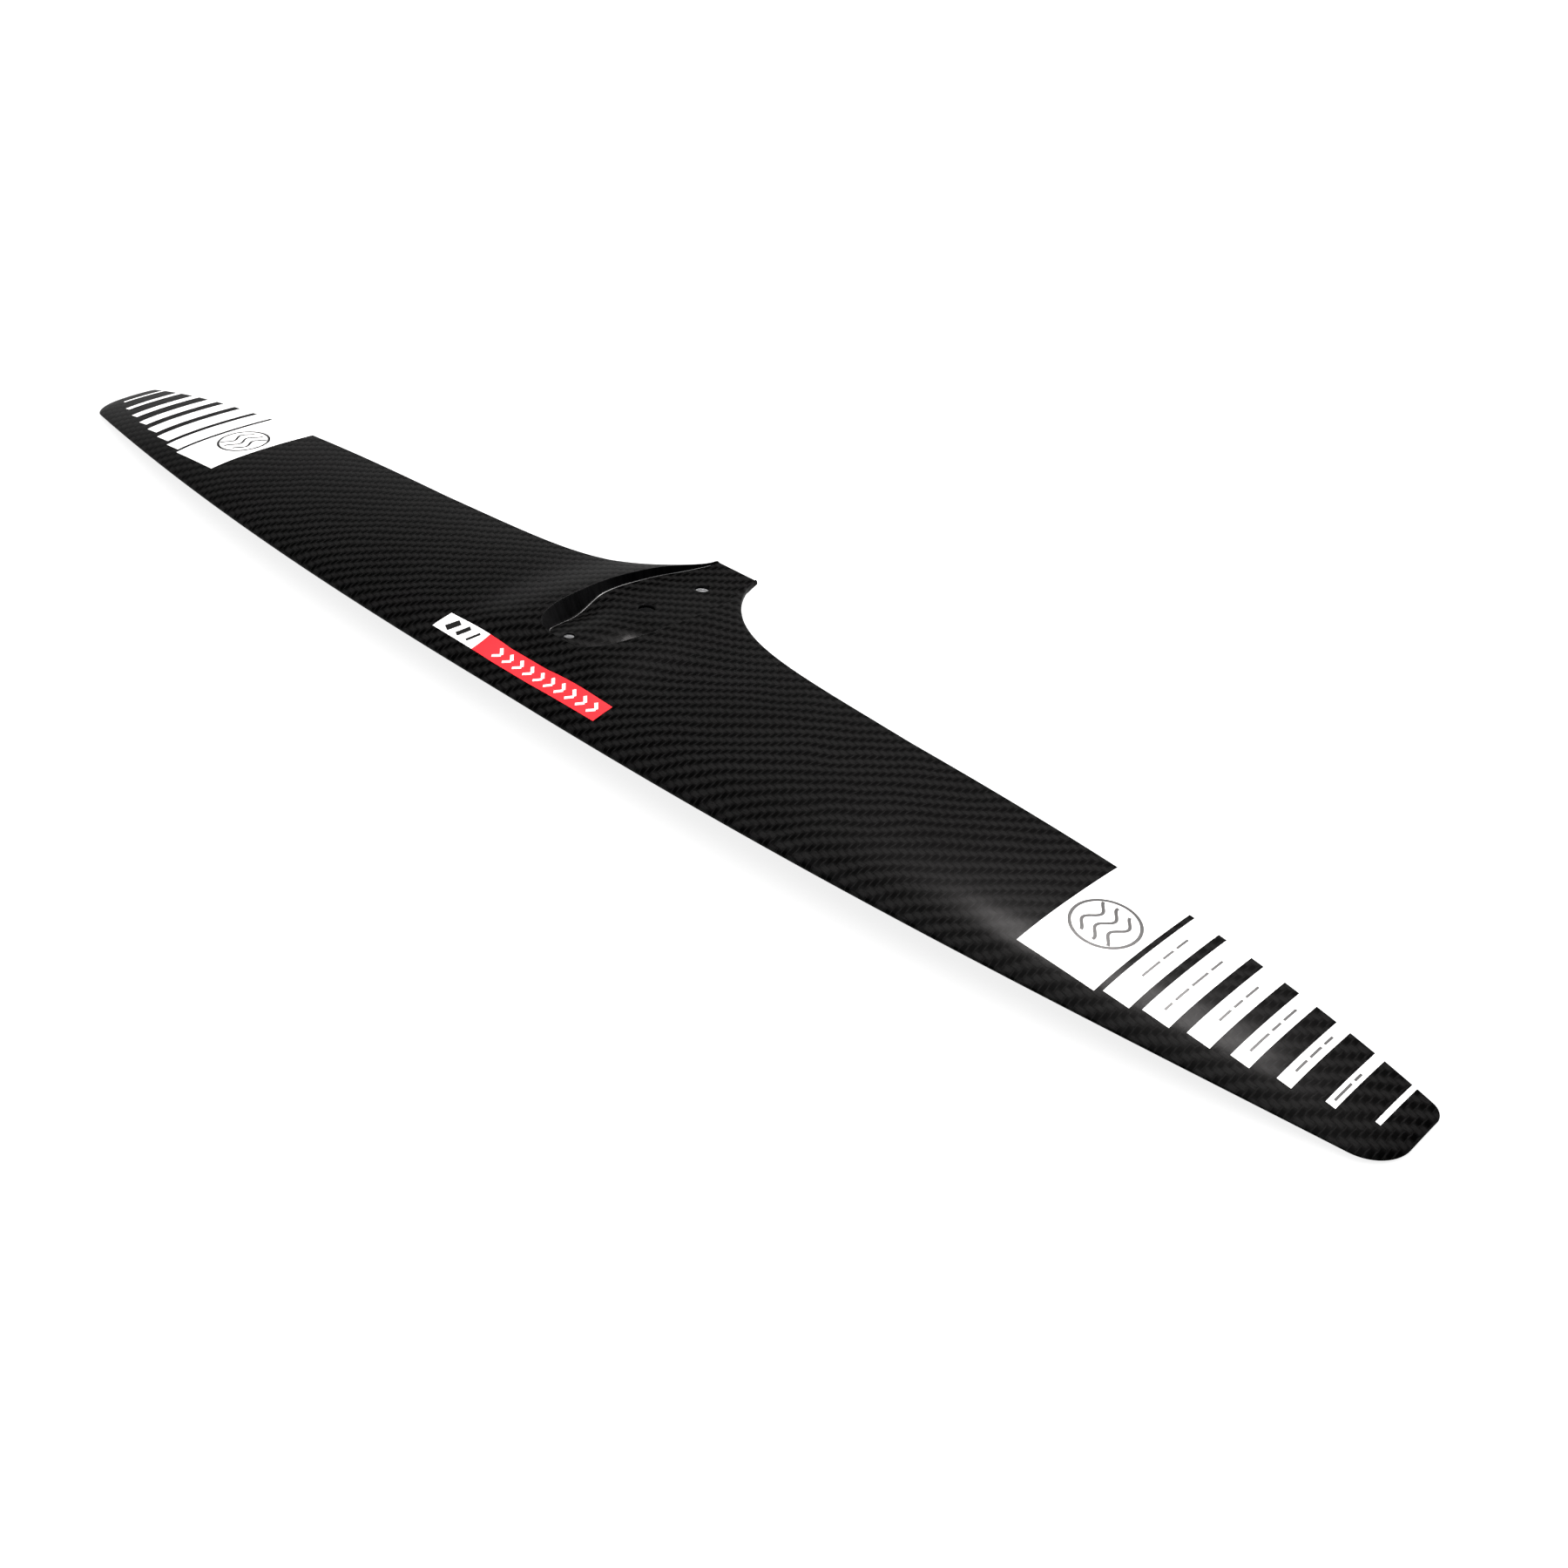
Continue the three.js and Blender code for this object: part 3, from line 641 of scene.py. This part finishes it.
def build_upper_skin():
    shell = Shell()
    wing_columns = np.concatenate([root_columns, chord_columns[1:]])
    both_sides(shell, skin_rows(span_stations, wing_columns, 1))
    both_sides(shell, skin_rows(centre_stations, root_columns, 1))
    away = np.linspace(0, 1, 19) ** 1.25
    start = rim_line + SEAM * np.array([1, 0])
    start[0, 0] = 0
    patch = start[:, None] * (1 - away[:, None]) + outer_edge[:, None] * away[:, None]
    rows = raised(patch)
    for k, x in enumerate(centre_stations):
        rows[k, -1] = skin_point(x, PATCH_FRONT, 1)
    for k, w in enumerate(chord_columns):
        rows[len(centre_stations) - 1 + k, -1] = skin_point(CENTRE_HALF_WIDTH, w, 1)
    both_sides(shell, rows, flip=True)
    shell.close(offset_inwards(1))
    return place(shell.build("wing_upper_skin", [CARBON]), "carbon_twill", "upper_skin")


# ---- lower skin ---------------------------------------------------------------------------
def build_lower_skin():
    shell = Shell()
    across = np.concatenate([np.linspace(0, TAIL_HALF_WIDTH, 9)[:-1],
                             TAIL_HALF_WIDTH + (CENTRE_HALF_WIDTH - TAIL_HALF_WIDTH)
                             * np.linspace(0, 1, 33) ** 1.6])
    columns = np.concatenate([np.linspace(NOSE_WRAP + 0.001, 0.3, 10)[:-1], np.linspace(0.3, 1, 34)])
    for xs in (across, span_stations):
        both_sides(shell, skin_rows(xs, columns, -1), flip=True)
    shell.close(offset_inwards(-1))
    skin = shell.build("wing_lower_skin", [CARBON])
    cut_bolts(skin, (0, 2))
    return place(skin, "carbon_twill", "lower_skin")


# ---- pocket -------------------------------------------------------------------------------
def bezier(a, b, c, count):
    t = np.linspace(0, 1, count)[:, None]
    return (1 - t) ** 2 * a + 2 * t * (1 - t) * b + t ** 2 * c


LIP = bezier(np.array([0, 0]), np.array([0.12, 0]), np.array([0.2, 0.14]), 6)
FOOT = bezier(np.array([0.78, 0.9]), np.array([0.86, 1.0]), np.array([1.0, 1.0]), 6)
WALL = np.vstack([LIP, np.linspace(LIP[-1], FOOT[0], 6)[1:-1], FOOT])


def build_seat():
    """Pocket wall from rim to floor, a painted highlight line at its foot, and the twill floor."""
    shell = Shell()
    plan = rim_line[:, None] + (floor_line - rim_line)[:, None] * WALL[None, :, :1]
    rim_z = surface(rim_line[:, 0], rim_line[:, 1])[:, None]
    foot_z = seat_surface(floor_line[:, 0], floor_line[:, 1])[:, None]
    foot_z = np.minimum(foot_z, rim_z - 0.02)
    height = rim_z + (foot_z - rim_z) * WALL[None, :, 1]
    wall = np.concatenate([plan, height[..., None]], -1)
    nose_end = np.searchsorted(floor_line[:, 1], WALL_BLACK_FROM)
    tail_start = np.searchsorted(floor_line[:, 1], WALL_BLACK_TO)

    def wall_slot(row, column):
        return 1 if nose_end <= row < tail_start else 0

    # the floor's first column along the wall's foot takes the painted highlight line
    def floor_slot(row, column):
        return 2 if nose_end <= row < tail_start and column == 0 else 0
    both_sides(shell, wall, slots=wall_slot)
    across = np.concatenate([[1], np.linspace(1 - HIGHLIGHT_LINE_SHARE, 0, 24)])
    xs = floor_line[:, :1] * across[None]
    ys = np.repeat(floor_line[:, 1:], len(across), 1)
    edge_z = foot_z + seat_surface(xs, ys) - seat_surface(floor_line[:, :1], floor_line[:, 1:])
    floor = np.stack([xs, ys, edge_z], -1)
    both_sides(shell, floor, slots=floor_slot)

    def inner(points):
        x, y, z = points.T
        le_y = leading_edge(x)[0]
        te_y = trailing_edge(x)[0]
        _, mid, half = section(x, np.clip((y - le_y) / (te_y - le_y), 0, 1))
        on_skin = mid - half + np.minimum(SKIN, 0.04 + 0.5 * half) + SEAM
        laid = smoothstep((y - SEAT_SOLID_FROM) / 10)
        plate = (z - SEAT_THICKNESS) * (1 - laid) + on_skin * laid
        return np.stack([x, y, np.minimum(z - SEAT_LEAST, plate)], -1)
    shell.close(inner)
    seat = shell.build("pocket_seat", [CARBON, POCKET, HIGHLIGHT_LINE], sharp=50)
    cut_bolts(seat, (0, 1, 2))
    return place(seat, "seat_gloss_black", "fuselage_seat")


def turned_at(y, profile, segments=64):
    """Rings of points round a bolt's axis, square to the seat.

    The profile is a list of (radius, height over the seat).
    """
    turn = np.linspace(0, 2 * math.pi, segments + 1)
    tilt = math.atan(SEAT_SLOPE)
    rings = []
    for radius, h in profile:
        x, v = radius * np.cos(turn), radius * np.sin(turn)
        rings.append(np.stack([x, y + v * math.cos(tilt) + h * math.sin(tilt),
                               seat_level(y) - v * math.sin(tilt) + h * math.cos(tilt)], -1))
    return np.array(rings)


def cut_bolts(obj, which):
    """Bolt holes square to the seat, opened out below for the bushes that take the screw heads."""
    bpy.context.view_layer.objects.active = obj
    for y, r, under, head in (BOLTS[k] for k in which):
        profile = [(0, -REACH), (head, -REACH), (head, -under), (r, -under), (r, REACH), (0, REACH)]
        if head == 0:
            profile = [(0, -under - SEAT_THICKNESS), (r, -under - SEAT_THICKNESS), (r, REACH), (0, REACH)]
        cutter = Shell()
        cutter.grid(turned_at(y, profile), flip=True)
        tool = cutter.build("cutter", [POCKET])
        cut = obj.modifiers.new("hole", "BOOLEAN")
        cut.operation = "DIFFERENCE"
        cut.solver = "EXACT"
        cut.object = tool
        bpy.context.view_layer.update()
        bpy.ops.object.modifier_apply(modifier=cut.name)
        bpy.data.objects.remove(tool)


def build_bush(which, node):
    """Turned steel bush in a bolt bore, with a coned seat for the screw head.

    Its lower end lies just inside the lower skin's height, but leans forward of the bore's axis.
    """
    y, r, under, head = BOLTS[which]
    top = -under - BUSH_GAP
    outside = head - BUSH_GAP
    inside = outside - BUSH_WALL
    mouth = r + BUSH_MOUTH
    cone_end = top - (inside - mouth)
    edge = BUSH_EDGE
    inner = [(mouth, top - edge), (mouth + edge, top - 2 * edge),
             (inside, cone_end), (inside, cone_end - BUSH_LAND)]
    outer = [(outside, top - BUSH_LAND), (outside, top - edge), (outside - edge, top), (mouth + edge, top)]
    rings = turned_at(y, inner + [(inside, -REACH), (outside, -REACH)] + outer + inner[:1])
    lower_end = len(inner)
    for ring in rings[lower_end:lower_end + 2]:
        below_skin = ring[:, 2] - surface(ring[:, 0], ring[:, 1], -1) - BUSH_RECESS
        ring[:, 1] += below_skin * SEAT_SLOPE
        ring[:, 2] = surface(ring[:, 0], ring[:, 1], -1) + BUSH_RECESS
    shell = Shell()
    shell.grid(rings, flip=True)
    return place(shell.build(f"bush_{node}", [STEEL], sharp=25), "bush_steel", node)


# ---- graphics films -----------------------------------------------------------------------
def add_strip(shell, left, right, lift, slot=0):
    """Band between two lines of plan points, laid on the wing's upper side."""
    rows = np.stack([np.asarray(left, float), np.asarray(right, float)], 1)
    points = raised(rows) + np.array([0, 0, lift])
    turned = np.cross(np.append(rows[0, 1] - rows[0, 0], 0), np.append(rows[1, 0] - rows[0, 0], 0))[2]
    shell.grid(points, slots=lambda i, j: slot, flip=turned > 0)


def add_bar(shell, start, end, width, slot=1, steps=9):
    """Straight printed bar of the given width from start to end."""
    a, b = np.array(start, float), np.array(end, float)
    along = (b - a) / np.linalg.norm(b - a)
    across = np.array([-along[1], along[0]]) * width / 2
    line = a + (b - a) * np.linspace(0, 1, steps)[:, None]
    add_strip(shell, line + across, line - across, FILM_LIFT + 2 * FILM, slot)


def add_curve(shell, line, width, slot=1):
    """Printed line of the given width along plan points."""
    ahead = np.gradient(line, axis=0)
    ahead /= np.linalg.norm(ahead, axis=1)[:, None]
    across = np.stack([-ahead[:, 1], ahead[:, 0]], -1) * width / 2
    add_strip(shell, line + across, line - across, FILM_LIFT + 2 * FILM, slot)


def build_film(name, xs, front, rear, steps, material, slot_name, node, marks=None, ink=None):
    shell = Shell()
    x, t = np.meshgrid(xs, np.linspace(0, 1, steps), indexing="ij")
    end = trailing_edge(x)[0] - 0.05 if rear is None else rear
    y = front + (end - front) * t
    shell.grid(np.stack([x, y, surface(x, y) + FILM_LIFT + FILM], -1))
    if marks:
        marks(shell)
    shell.close(lambda points: points - [0, 0, FILM])
    return place(shell.build(name, [material, ink or material], sharp=50), slot_name, node)


# ---- generic printed marks: a ring with three waves, bars and arrows --------------------------
def wave_badge(sign):
    """Ring of three waves in the middle of a tip panel."""
    def marks(shell):
        x0, y0 = BADGE_AT
        turn = np.linspace(0, 2 * math.pi, 61)
        ring = np.stack([sign * (x0 + BADGE_RADIUS * np.cos(turn)), y0 + BADGE_RADIUS * np.sin(turn)], -1)
        add_curve(shell, ring, BADGE_LINE)
        for k in (-1, 0, 1):
            half = 0.8 * math.sqrt(BADGE_RADIUS ** 2 - (0.45 * k * BADGE_RADIUS) ** 2)
            run = np.linspace(-half, half, 37)
            swell = 2.1 * np.sin(run * 2 * math.pi / BADGE_RADIUS)
            x = x0 + 0.45 * k * BADGE_RADIUS + swell
            add_curve(shell, np.stack([sign * x, y0 + run], -1), BADGE_LINE)
    return marks


def grey_bars(x, y, lengths):
    """A row of short printed bars running back from y along one stripe."""
    def marks(shell):
        start = y
        for length in lengths:
            add_bar(shell, (x, start), (x, start + length), BAR_WIDTH)
            start += length + BAR_SPACE
    return marks


def arrows(shell):
    """Row of arrow heads along the red label."""
    middle = (LABEL_FRONT + LABEL_REAR) / 2
    for x in np.arange(LABEL_SPLIT + 12, LABEL_HALF_WIDTH - 8, ARROW_PITCH):
        for side in (-1, 1):
            add_bar(shell, (x, middle + side * 3.2), (x + 3.4, middle + side * 0.15), 1.7, steps=5)


def slanted_bars(shell):
    """Three slanted bars on the white label."""
    for x, width in zip((-52, -44, -36.5), (4.6, 3.2, 1.8)):
        add_bar(shell, (x, LABEL_FRONT + 2.6), (x + 3, LABEL_REAR - 2.6), width, steps=5)


def build_films():
    for side, sign in (("left", -1), ("right", 1)):
        for k, (inner, outer, front) in enumerate(FILM_TIP):
            node = f"tip_panel_{side}" if k == 0 else f"tip_stripe_{k}_{side}"
            xs = np.sort(sign * np.linspace(inner, outer, max(3, int((outer - inner) / 2) + 1)))
            marks = wave_badge(sign) if k == 0 else None
            if sign > 0 and 1 <= k <= len(STRIPE_BARS):
                gap, *lengths = STRIPE_BARS[k - 1]
                marks = grey_bars((inner + outer) / 2, front + gap, lengths)
            ink = BLACK_INK if k == 0 else GREY_INK
            build_film(f"film_{node}", xs, front, None, 33, WHITE, "film_white", node, marks, ink)
    white = np.linspace(-LABEL_HALF_WIDTH, LABEL_SPLIT, 17)
    red = np.linspace(LABEL_SPLIT, LABEL_HALF_WIDTH, 45)
    build_film("film_label_white", white, LABEL_FRONT, LABEL_REAR, 9, WHITE, "film_white", "label_white",
               slanted_bars, BLACK_INK)
    build_film("film_label_red", red, LABEL_FRONT, LABEL_REAR, 9, RED, "film_red", "label_red",
               arrows, WHITE)


build_upper_skin()
build_lower_skin()
build_seat()
build_films()
build_bush(0, "bolt_bush_front")
build_bush(2, "bolt_bush_rear")

# ---- inner CAD pieces keep their meshes and get their own materials -------------------------
slot_of = {s["node"]: s["material_slot"] for s in frame["record"]["subparts"]}
for node, obj in frame["nodes"].items():
    if slot_of[node] in INNER:
        obj.data.materials.clear()
        obj.data.materials.append(INNER[slot_of[node]])

# ---- floor, light and camera --------------------------------------------------------------
low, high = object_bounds()


def build_floor():
    """Pale studio floor, gently rising far behind the part on every side."""
    rings = np.concatenate([[0.0], np.linspace(0.5, 3.0, 12), np.linspace(3.4, 9.0, 12)])
    turn = np.linspace(0, 2 * math.pi, 97)
    verts = []
    for r in rings:
        rise = max(r - 4.0, 0) ** 2 * 0.12
        for a in turn[:-1]:
            verts.append((r * math.cos(a), r * math.sin(a), low.z - 0.0005 + rise))
    count = len(turn) - 1
    faces = []
    for i in range(1, len(rings) - 1):
        for j in range(count):
            a, b = i * count + j, i * count + (j + 1) % count
            faces.append((a, a + count, b + count, b))
    faces.append(tuple(range(count, 2 * count)))
    mesh = bpy.data.meshes.new("studio_floor")
    mesh.from_pydata(verts, [], faces)
    mesh.polygons.foreach_set("use_smooth", [True] * len(faces))
    floor = bpy.data.objects.new("studio_floor", mesh)
    bpy.context.scene.collection.objects.link(floor)
    n = Nodes("studio_floor")
    tone = n.noise(n.vector(*n.place()), 0.002, 2.0)
    n.set(Base_Color=n.mix(tone, (0.25, 0.25, 0.25), (0.27, 0.27, 0.27)), Roughness=0.8)
    n.shader.inputs["Specular IOR Level"].default_value = 0.0
    n.shader.inputs["Emission Color"].default_value = (1, 1, 1, 1)
    n.shader.inputs["Emission Strength"].default_value = 0.84
    mesh.materials.append(n.material)


def soft_light(name, position, target, size, power, colour=(1, 1, 1)):
    data = bpy.data.lights.new(name, "AREA")
    data.shape = "RECTANGLE"
    data.size, data.size_y = size
    data.energy = power
    data.color = colour
    light = bpy.data.objects.new(name, data)
    aim = Vector(target) - Vector(position)
    light.matrix_world = Matrix.Translation(position) @ aim.to_track_quat("-Z", "Y").to_matrix().to_4x4()
    bpy.context.scene.collection.objects.link(light)


def build_camera():
    """Camera at the product picture's angle: 44 degrees off the centre plane and 37 down."""
    position = to_frame([606.5, -431.0, 488.0])
    right = Vector((0.71922, 0.69478, -0.0006)).normalized()
    forward = Vector((-0.55744, 0.57652, -0.59739)).normalized()
    up = right.cross(forward)
    rotation = Matrix((right, up, -forward)).transposed()
    data = bpy.data.cameras.new("camera")
    data.sensor_width = 36
    data.lens = 42.77
    camera = bpy.data.objects.new("camera", data)
    camera.matrix_world = Matrix.Translation(position) @ rotation.to_4x4()
    bpy.context.scene.collection.objects.link(camera)
    bpy.context.scene.camera = camera


build_floor()
soft_light("overhead", (0.2, -0.4, 2.6), (0, 0, 0), (3.0, 3.0), 78)
soft_light("tip_softbox", (-0.18, 1.25, 1.75), (0.36, -0.03, 0), (0.8, 0.4), 75, (1, 0.96, 0.95))
build_camera()

# the room is dim so that the black wing stays black; only the backdrop itself is pale
world = bpy.data.worlds.new("studio")
world.use_nodes = True
tree = world.node_tree
dim = tree.nodes["Background"]
dim.inputs["Color"].default_value = (1, 1, 1, 1)
dim.inputs["Strength"].default_value = 0.06
pale = tree.nodes.new("ShaderNodeBackground")
pale.inputs["Strength"].default_value = 1.0
seen = tree.nodes.new("ShaderNodeLightPath")
choose = tree.nodes.new("ShaderNodeMixShader")
tree.links.new(seen.outputs["Is Camera Ray"], choose.inputs[0])
tree.links.new(dim.outputs[0], choose.inputs[1])
tree.links.new(pale.outputs[0], choose.inputs[2])
tree.links.new(choose.outputs[0], tree.nodes["World Output"].inputs["Surface"])
bpy.context.scene.world = world
bpy.context.scene.view_settings.view_transform = "Standard"
